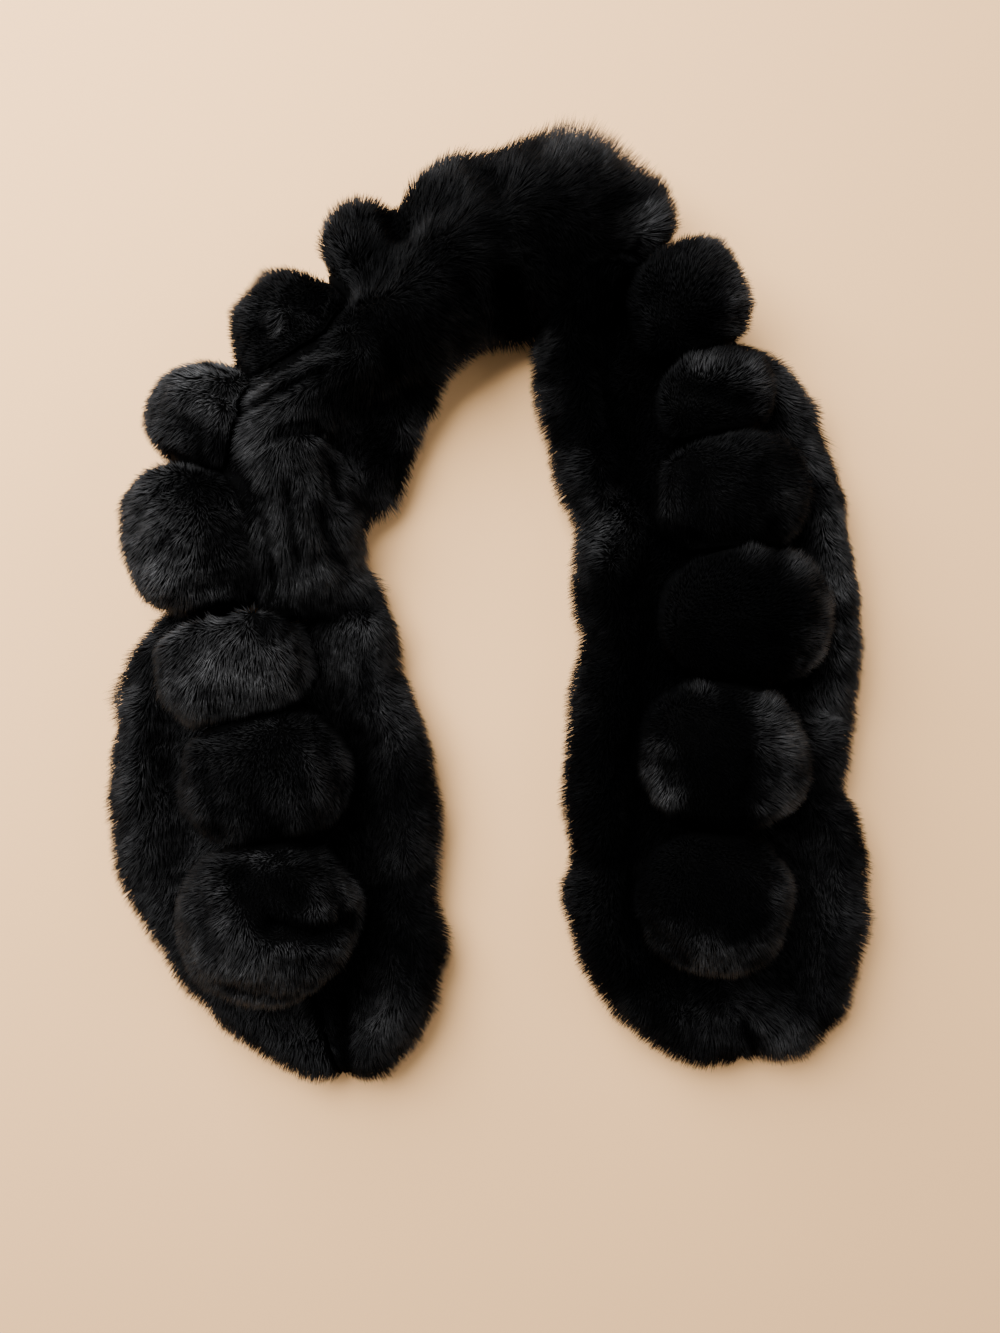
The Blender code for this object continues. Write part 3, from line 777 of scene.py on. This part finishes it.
def combed(mesh, nodes, places, normals, guide, around):
    """The way that the hair grows at each point of a piece, and the painted sheen and shade of its nap.
    """
    lays = [row_for(LAYS, node) for node in nodes]
    base = np.array([[*leaned(lay.angle), lay.lean, lay.tone, lay.length] for lay in lays])
    base = rounded(mesh, base[nearest_solid(nodes, places)], BLENDING if len(nodes) > 1 else 0)
    ways, leans, painted_sheen_and_shade, lengths = base[:, :3], base[:, 3], base[:, 4], base[:, 5]
    uneven = [noise.noise(Vector(place) / SMALL_SIZE) for place in places]
    wobble = STROKE_WOBBLE * np.array(uneven)
    for stroke in rows_for(STROKES, nodes):
        off = np.linalg.norm(places[:, :2] - np.array([stroke.x, stroke.y]) * MM, axis=1)
        off = np.maximum(off / (stroke.reach * MM) + wobble, 0.0)
        share = np.exp(-off * off)
        ways += share[:, None] * (leaned(stroke.angle) - ways)
        leans += share * (stroke.lean - leans)
        painted_sheen_and_shade += share * (stroke.tone - painted_sheen_and_shade)
        lengths += share * (stroke.length - lengths)
    facing = np.sum(ways * guide, axis=1)
    ways -= guide * np.where(facing > 0.0, OVERHANG * facing, facing)[:, None]
    ways = unit(ways, LEAST_WAY)
    leans = np.radians(leans)[:, None]
    ways = guide * np.cos(leans) + ways * np.sin(leans)
    if "puff" not in nodes[0]:
        # painted sheen where strips and folds turn away to the sides
        painted_rim_sheen = limited(1.0 - normals[:, 2]) ** RIM_POWER
        painted_sheen_and_shade += RIM_PAINTED_SHEEN * painted_rim_sheen * eased(around, *FREE_SPAN)
    else:
        # painted shade on a puff where it is pressed on its neighbours and on its underside
        painted_edge_shade = np.clip(around * PUFF_EDGE_RISE, PUFF_EDGE_SHEEN_KEPT, 1.0)
        painted_sheen_and_shade *= painted_edge_shade * eased(normals[:, 2], *PUFF_UNDERSIDE_SHADE_SPAN)
    tips = places + ways * (TIP_REACH * HAIR_LENGTH * lengths)[:, None]
    sunk = np.maximum(crease_depth(nodes, places, normals), crease_depth(nodes, tips, normals))
    # painted shade in the creases
    painted_sheen_and_shade *= 1.0 - np.clip(sunk / CREASE_FULL_DEPTH, 0.0, CREASE_PAINTED_SHADE)
    lengths *= 1.0 - CREASE_TRIM * limited(sunk / CREASE_FULL_DEPTH)
    lengths *= SHORTEST + (1.0 - SHORTEST) * limited(around * LENGTH_RISE)
    return ways, painted_sheen_and_shade, lengths


def leaned(angle):
    """The way that hair combed at this angle in plan points, before it leans from its pelt."""
    turn = math.radians(angle)
    return np.array([math.cos(turn), math.sin(turn), DROOP])


def store(mesh, name, kind, values):
    """Keeps a named value on each point of a mesh."""
    attribute = mesh.attributes.new(name, kind, "POINT")
    attribute.data.foreach_set("vector" if kind == "FLOAT_VECTOR" else "value", np.ravel(values))


def pelt_of(name, nodes, near):
    """The pelt over some solids, with how its fur lies at each point.

    It is the piece's form rounded off, and set in by the depth of the pile where the fur
    stands free. Where it is pressed on the next piece it stays where it is.
    """
    pelt = add_object(name + "_pelt", welded_copy(name, nodes))
    add_remesh(pelt, VOXEL)
    applied(pelt)
    mesh = pelt.data
    normals = numpy_normals(mesh)
    places = numpy_points(mesh) - OVERLAP * normals
    room = room_over(places, normals, near)
    free = eased(room, TIGHT, ROOMY)
    around = rounded(mesh, free, EDGE_ROUNDING)
    passes = PUFF_ROUNDING if "puff" in name else STRIP_ROUNDING
    share = PRESSED_ROUNDING + (1.0 - PRESSED_ROUNDING) * eased(around, *FREE_SPAN)
    places = rounded(mesh, places, passes, share)
    move_points(mesh, places)
    normals = numpy_normals(mesh)
    inwards = unit(rounded(mesh, normals * free[:, None], EDGE_ROUNDING), LEAST_INWARD)
    lay = row_for(LAYS, nodes[0])
    depth = PILE_DEPTH * (STRIP_DEPTH if name in STRIP_CUTS else min(lay.length, 1.0))
    inset = depth * limited(around * DEPTH_RISE)
    inset = inset - swelling(nodes, places) + lumps(places) * limited(around * EDGE_RISE)
    ways = inwards + normals * limited(1.0 - EDGE_RISE * around)[:, None]
    places = places - ways * inset[:, None]
    places = places - normals * crease_depth(nodes, places, normals)[:, None]
    places = rounded(mesh, places, LAST_ROUNDING, limited(around * EDGE_RISE))
    places[:, 2] = np.maximum(places[:, 2], LOWEST)
    move_points(mesh, places)
    normals = numpy_normals(mesh)
    up = eased(normals[:, 2], UNDERSIDE - UNDERSIDE_BLEND, UNDERSIDE + UNDERSIDE_BLEND)
    upwards = SIDE_DENSITY + (1.0 - SIDE_DENSITY) * limited(normals[:, 2])
    store(mesh, "free", "FLOAT", eased(around, *GROWING_SPAN) * up * upwards)
    guide = unit(rounded(mesh, normals * free[:, None], EDGE_ROUNDING), LEAST_GUIDE)
    share = limited(EDGE_RISE - EDGE_RISE * around)[:, None]
    guide = share * guide + (1.0 - share) * normals
    ways, painted_sheen_and_shade, lengths = combed(mesh, nodes, places, normals, guide, around)
    store(mesh, "pile", "FLOAT", lengths)
    store(mesh, "lay", "FLOAT_VECTOR", ways)
    # painted sheen and painted shade of the nap, for the colour of the fur
    store(mesh, "tone", "FLOAT", painted_sheen_and_shade)
    return pelt


def thinned(made, share):
    """Keeps a share of a piece's faces, where fur hides the rest."""
    thinning = made.modifiers.new("thinning", "DECIMATE")
    thinning.ratio = share
    return applied(made)


# ---- Fur -------------------------------------------------------------------------------------
def add_input(tree, name, kind, default=None):
    socket = tree.interface.new_socket(name, in_out="INPUT", socket_type=kind)
    if default is not None:
        socket.default_value = default
    return socket


class Tree:
    """Short ways to add and join the nodes of a tree."""

    def __init__(self, tree):
        self.tree = tree

    def node(self, kind, inputs=(), **settings):
        made = self.tree.nodes.new(kind)
        for key, value in settings.items():
            setattr(made, key, value)
        for key, value in dict(inputs).items():
            self.feed(made.inputs[key], value)
        return made

    def feed(self, socket, value):
        if isinstance(value, bpy.types.NodeSocket):
            self.tree.links.new(value, socket)
        else:
            socket.default_value = value

    def maths(self, operation, *values):
        made = self.tree.nodes.new("ShaderNodeMath")
        made.operation = operation
        for socket, value in zip(made.inputs, values):
            self.feed(socket, value)
        return made.outputs[0]

    def vector(self, operation, *values, scale=None):
        made = self.tree.nodes.new("ShaderNodeVectorMath")
        made.operation = operation
        for socket, value in zip(made.inputs, values):
            self.feed(socket, value)
        if scale is not None:
            self.feed(made.inputs["Scale"], scale)
        return made.outputs[0]

    def named(self, name, kind):
        made = self.node("GeometryNodeInputNamedAttribute", {"Name": name}, data_type=kind)
        return made.outputs["Attribute"]

    def random(self, low, high, seed, kind="FLOAT"):
        made = self.node("FunctionNodeRandomValue", data_type=kind)
        sockets = [s for s in made.inputs if s.enabled]
        sockets[0].default_value, sockets[1].default_value = low, high
        made.inputs["Seed"].default_value = seed
        return next(s for s in made.outputs if s.enabled)


def swirl(nodes, size, strength, shift):
    """A smooth random vector field of the given grain, centred on zero."""
    place = nodes.node("GeometryNodeInputPosition").outputs[0]
    moved = nodes.vector("ADD", place, (shift, 2.0 * shift, 0.0))
    cloud = nodes.node(
        "ShaderNodeTexNoise",
        {"Vector": moved, "Scale": nodes.maths("DIVIDE", 1.0, size), "Detail": 1.0},
    )
    centred = nodes.vector("SUBTRACT", cloud.outputs["Color"], (0.5, 0.5, 0.5))
    return nodes.vector("SCALE", centred, scale=nodes.maths("MULTIPLY", strength, 2.0))


def stored(nodes, geometry, marks):
    """Keeps named numbers on each point of a geometry."""
    for name, value in marks.items():
        kept = nodes.node(
            "GeometryNodeStoreNamedAttribute",
            {"Geometry": geometry, "Name": name, "Value": value},
            data_type="FLOAT",
            domain="POINT",
        )
        geometry = kept.outputs[0]
    return geometry


CELL_ACROSS = (0.7, 0.15)  # share of its cell that a hair fills, and where it starts in it
CELL_UP = (0.8, 0.1)


def hair_cell(nodes):
    """Place of a hair's corner on the fur's map, where each hair has a cell of its own."""
    number, row = nodes.named("number", "FLOAT"), nodes.named("row", "FLOAT")
    across = nodes.maths("MULTIPLY_ADD", nodes.named("side", "FLOAT"), *CELL_ACROSS)
    up = nodes.maths("MULTIPLY_ADD", nodes.named("along", "FLOAT"), *CELL_UP)
    left = nodes.maths("FLOORED_MODULO", number, row)
    below = nodes.maths("FLOOR", nodes.maths("DIVIDE", number, row))
    return nodes.node(
        "ShaderNodeCombineXYZ",
        {
            "X": nodes.maths("DIVIDE", nodes.maths("ADD", left, across), row),
            "Y": nodes.maths("DIVIDE", nodes.maths("ADD", below, up), row),
        },
    ).outputs[0]


FUR_SIZES = {
    "Density": HAIR_DENSITY,
    "Length": HAIR_LENGTH,
    "Width": HAIR_WIDTH,
    "Clump size": CLUMP_SIZE,
    "Clump lean": CLUMP_LEAN,
    "Patch size": PATCH_SIZE,
    "Patch lean": PATCH_LEAN,
    "Tuft size": TUFT_SIZE,
    "Tuft step": TUFT_STEP,
}


def fur_tree():
    """Grows tapered hairs on a pelt: free hairs only, combed, clumped and cut to length."""
    tree = bpy.data.node_groups.new("fur", "GeometryNodeTree")
    tree.interface.new_socket("Geometry", in_out="INPUT", socket_type="NodeSocketGeometry")
    tree.interface.new_socket("Geometry", in_out="OUTPUT", socket_type="NodeSocketGeometry")
    for name, size in FUR_SIZES.items():
        add_input(tree, name, "NodeSocketFloat", size)
    add_input(tree, "Seed", "NodeSocketInt", 0)
    add_input(tree, "Material", "NodeSocketMaterial")
    nodes = Tree(tree)
    given = nodes.node("NodeGroupInput").outputs

    density = nodes.maths("MULTIPLY", given["Density"], nodes.named("free", "FLOAT"))
    roots = nodes.node(
        "GeometryNodeDistributePointsOnFaces",
        {"Mesh": given["Geometry"], "Density": density, "Seed": given["Seed"]},
    )
    clump = swirl(nodes, given["Clump size"], given["Clump lean"], CLUMP_SHIFT)
    patch = swirl(nodes, given["Patch size"], given["Patch lean"], PATCH_SHIFT)
    jitter = nodes.random((-HAIR_JITTER,) * 3, (HAIR_JITTER,) * 3, JITTER_SEED, "FLOAT_VECTOR")
    leaning = nodes.vector("ADD", nodes.vector("ADD", clump, patch), jitter)
    grown = nodes.vector("ADD", nodes.named("lay", "FLOAT_VECTOR"), leaning)
    upright = nodes.node("FunctionNodeAlignRotationToVector", {"Vector": grown}, axis="Z")
    twist = nodes.node("ShaderNodeCombineXYZ", {"Z": nodes.random(0.0, math.tau, TWIST_SEED)})
    turned = nodes.node(
        "FunctionNodeRotateRotation",
        {"Rotation": upright.outputs[0], "Rotate By": twist.outputs[0]},
        rotation_space="LOCAL",
    )
    spread = nodes.random(*LENGTH_SPREAD, LENGTH_SEED)
    height = nodes.maths("MULTIPLY", given["Length"], nodes.named("pile", "FLOAT"))
    height = nodes.maths("MULTIPLY", height, spread)
    tufts = nodes.node(
        "ShaderNodeTexNoise",
        {
            "Vector": nodes.node("GeometryNodeInputPosition").outputs[0],
            "Scale": nodes.maths("DIVIDE", 1.0, given["Tuft size"]),
            "Detail": 1.0,
        },
    )
    stepped = nodes.maths("MULTIPLY_ADD", tufts.outputs["Fac"], 2.0, -1.0)
    stepped = nodes.maths("MULTIPLY_ADD", stepped, given["Tuft step"], 1.0)
    height = nodes.maths("MULTIPLY", height, stepped)
    width = nodes.maths("MULTIPLY", given["Width"], nodes.random(*WIDTH_SPREAD, WIDTH_SEED))
    size = nodes.node("ShaderNodeCombineXYZ", {"X": width, "Y": width, "Z": height})

    hair = nodes.node(
        "GeometryNodeMeshCone",
        {"Vertices": HAIR_SIDES, "Radius Top": 0.0, "Radius Bottom": 1.0, "Depth": 1.0},
        fill_type="NGON",
    )
    place = nodes.node("GeometryNodeInputPosition").outputs[0]
    apart = nodes.node("ShaderNodeSeparateXYZ", {0: place})
    index = nodes.node("GeometryNodeInputIndex").outputs[0]
    side = nodes.maths("DIVIDE", index, float(HAIR_SIDES))
    marks = {"along": apart.outputs["Z"], "side": side}
    marked = stored(nodes, hair.outputs["Mesh"], marks)
    counted = nodes.node(
        "GeometryNodeAttributeDomainSize",
        {"Geometry": roots.outputs["Points"]},
        component="POINTCLOUD",
    ).outputs["Point Count"]
    marks = {
        "shade": nodes.random(0.0, 1.0, SHADE_SEED),
        # the painted sheen of the nap on each hair
        "nap": nodes.named("tone", "FLOAT"),
        "number": index,
        "row": nodes.maths("CEIL", nodes.maths("SQRT", counted)),
    }
    planted = nodes.node(
        "GeometryNodeInstanceOnPoints",
        {
            "Points": stored(nodes, roots.outputs["Points"], marks),
            "Instance": marked,
            "Rotation": turned.outputs[0],
            "Scale": size.outputs[0],
        },
    )
    real = nodes.node("GeometryNodeRealizeInstances", {"Geometry": planted.outputs[0]})
    place = nodes.node("GeometryNodeInputPosition").outputs[0]
    tip = nodes.node("ShaderNodeSeparateXYZ", {0: place}).outputs
    height = nodes.maths("MAXIMUM", tip["Z"], LOWEST)
    lifted = nodes.node("ShaderNodeCombineXYZ", {"X": tip["X"], "Y": tip["Y"], "Z": height})
    laid = nodes.node(
        "GeometryNodeSetPosition", {"Geometry": real.outputs[0], "Position": lifted.outputs[0]}
    )
    mapped = nodes.node(
        "GeometryNodeStoreNamedAttribute",
        {"Geometry": laid.outputs[0], "Name": "OFBake", "Value": hair_cell(nodes)},
        data_type="FLOAT2",
        domain="CORNER",
    )
    coloured = nodes.node(
        "GeometryNodeSetMaterial", {"Geometry": mapped.outputs[0], "Material": given["Material"]}
    )
    nodes.node("NodeGroupOutput", {"Geometry": coloured.outputs[0]})
    return tree


def grow_fur(pelt, tree, name, values):
    """The hairs of one pelt as a plain mesh."""
    made = add_object(name, pelt.data)
    fur = made.modifiers.new("fur", "NODES")
    fur.node_group = tree
    for item in tree.interface.items_tree:
        if item.in_out == "INPUT" and item.name in values:
            fur[item.identifier] = values[item.name]
    return applied(made)


# ---- Materials -------------------------------------------------------------------------------
def new_material(name, roughness):
    """A material with this roughness, and the shader that takes its colour."""
    material = bpy.data.materials.new(name)
    material.use_nodes = True
    shader = material.node_tree.nodes["Principled BSDF"]
    shader.inputs["Roughness"].default_value = roughness
    return material, shader


def fur_material(name):
    """Black fur: deep black at the roots, and greyer towards the tips where the nap has its painted
    sheen.
    """
    material, shader = new_material(name, FUR_ROUGHNESS)
    shader.inputs["Specular IOR Level"].default_value = FUR_GLOSS
    nodes = Tree(material.node_tree)
    place = nodes.node("ShaderNodeTexCoord").outputs["Object"]
    along = nodes.node("ShaderNodeAttribute", attribute_name="along").outputs["Fac"]
    shade = nodes.node("ShaderNodeAttribute", attribute_name="shade").outputs["Fac"]
    nap = nodes.node("ShaderNodeAttribute", attribute_name="nap").outputs["Fac"]
    # random patches that make the painted sheen stronger or weaker
    patches = nodes.node(
        "ShaderNodeTexNoise",
        {
            "Vector": place,
            "Scale": SHEEN_PATCH_SCALE,
            "Detail": SHEEN_PATCH_DETAIL,
            "Roughness": SHEEN_PATCH_ROUGHNESS,
        },
    )
    sheen_share = nodes.node(
        "ShaderNodeMapRange",
        {
            "Value": patches.outputs["Fac"],
            "From Min": SHEEN_PATCH_FROM[0],
            "From Max": SHEEN_PATCH_FROM[1],
            "To Min": SHEEN_PATCH_TO[0],
            "To Max": SHEEN_PATCH_TO[1],
        },
    ).outputs[0]
    shade = nodes.maths("MULTIPLY_ADD", shade, SHADE_SPREAD, SHADE_LEAST)
    sheen_share = nodes.maths("MULTIPLY", sheen_share, shade)
    sheen_share = nodes.maths("MULTIPLY", sheen_share, nodes.maths("POWER", along, SHEEN_RISE))
    # painted sheen: grey mixed into the black where the nap is painted as catching light
    lit = nodes.maths("MULTIPLY", nodes.maths("MULTIPLY", nap, SHEEN_GREY_SHARE), sheen_share)
    mix = nodes.node("ShaderNodeMix", data_type="RGBA")
    nodes.feed(mix.inputs["Factor"], lit)
    nodes.feed(mix.inputs["A"], FUR_BLACK)
    nodes.feed(mix.inputs["B"], FUR_SHEEN_GREY)
    nodes.feed(shader.inputs["Base Color"], mix.outputs["Result"])
    return material


def pelt_material(name):
    """Black underfur, with a fine grain."""
    material, shader = new_material(name, UNDERFUR_ROUGHNESS)
    shader.inputs["Specular IOR Level"].default_value = UNDERFUR_GLOSS
    nodes = Tree(material.node_tree)
    place = nodes.node("ShaderNodeTexCoord").outputs["Object"]
    grain = nodes.node(
        "ShaderNodeTexNoise",
        {"Vector": place, "Scale": UNDERFUR_SCALE, "Detail": UNDERFUR_DETAIL},
    ).outputs["Fac"]
    mix = nodes.node("ShaderNodeMix", data_type="RGBA")
    nodes.feed(mix.inputs["Factor"], grain)
    nodes.feed(mix.inputs["A"], UNDERFUR_DARK)
    nodes.feed(mix.inputs["B"], UNDERFUR_LIGHT)
    nodes.feed(shader.inputs["Base Color"], mix.outputs["Result"])
    bump = nodes.node("ShaderNodeBump", {"Height": grain, "Strength": UNDERFUR_BUMP})
    bump.inputs["Distance"].default_value = UNDERFUR_BUMP_HEIGHT
    nodes.feed(shader.inputs["Normal"], bump.outputs[0])
    return material


# ---- The room --------------------------------------------------------------------------------
def make_floor():
    """The plain pale floor that the collar lies on."""
    mesh = bpy.data.meshes.new("floor")
    half = FLOOR_HALF
    corners = [(-half, -half, 0), (half, -half, 0), (half, half, 0), (-half, half, 0)]
    mesh.from_pydata(corners, [], [(0, 1, 2, 3)])
    floor = add_object("floor", mesh)
    material, shader = new_material("pale floor", FLOOR_ROUGHNESS)
    shader.inputs["Base Color"].default_value = FLOOR_COLOUR
    mesh.materials.append(material)


def add_lamp(lamp):
    """A square lamp that shines on the middle of the floor."""
    light = bpy.data.lights.new(lamp.name, "AREA")
    light.size = lamp.side
    light.energy = lamp.watts
    holder = add_object(lamp.name, light)
    holder.location = lamp.place
    holder.rotation_euler = (-Vector(lamp.place)).to_track_quat("-Z", "Y").to_euler()


def make_camera():
    """The camera, straight over the collar."""
    camera = bpy.data.cameras.new("camera")
    camera.lens = CAMERA_LENS
    camera.sensor_width = CAMERA_FILM
    camera.clip_start = CAMERA_NEAREST
    holder = add_object("camera", camera)
    holder.location = CAMERA_PLACE
    bpy.context.scene.camera = holder


def make_room():
    """The floor, the lamps and the light of the room around them."""
    make_floor()
    for lamp in LAMPS:
        add_lamp(lamp)
    world = bpy.data.worlds.new("room")
    world.use_nodes = True
    background = world.node_tree.nodes["Background"]
    background.inputs["Color"].default_value = ROOM_COLOUR
    background.inputs["Strength"].default_value = ROOM_STRENGTH
    bpy.context.scene.world = world


# ---- The collar ------------------------------------------------------------------------------
def solid_tree(node):
    """A search tree of a solid of the frame."""
    shape = bmesh.new()
    shape.from_mesh(bpy.data.objects[node].data)
    tree = BVHTree.FromBMesh(shape)
    shape.free()
    return tree


def boxes_near(first, second, reach):
    """Whether the boxes of two pieces come within reach of each other."""
    (low, high), (other_low, other_high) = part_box(first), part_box(second)
    return all(
        low[axis] - reach < other_high[axis] and other_low[axis] - reach < high[axis]
        for axis in range(3)
    )


def skins(nodes):
    """The pelts by name, each with the solids that it covers without a seam."""
    found = {"nape": list(NAPE)}
    for strip in STRIP_CUTS:
        found[strip] = [node for node in nodes if strip_of(node) == strip]
    covered = {node for group in found.values() for node in group}
    found.update({node: [node] for node in nodes if node not in covered})
    return found


def make_collar():
    """A pelt and its fur over each solid, or over the solids that share one."""
    nodes = list(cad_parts)
    solids = {node: solid_tree(node) for node in nodes}
    tree = fur_tree()
    fur = fur_material("black fur")
    skin = pelt_material("black underfur")
    for number, (name, covered) in enumerate(skins(nodes).items()):
        near = [
            solids[other]
            for other in nodes
            if other not in covered and any(boxes_near(node, other, ROOMY) for node in covered)
        ]
        pelt = pelt_of(name, covered, near)
        hairs = grow_fur(pelt, tree, name + "_fur", {"Seed": number, "Material": fur})
        for attribute in ("free", "pile", "lay", "tone"):
            pelt.data.attributes.remove(pelt.data.attributes[attribute])
        thinned(pelt, PELT_SHARE)
        pelt.data.materials.append(skin)
        pelt.data.shade_smooth()
        hairs.data.shade_smooth()
        for piece in (pelt, hairs):
            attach(piece, "root")
            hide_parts(*covered)


make_camera()
make_room()
make_collar()
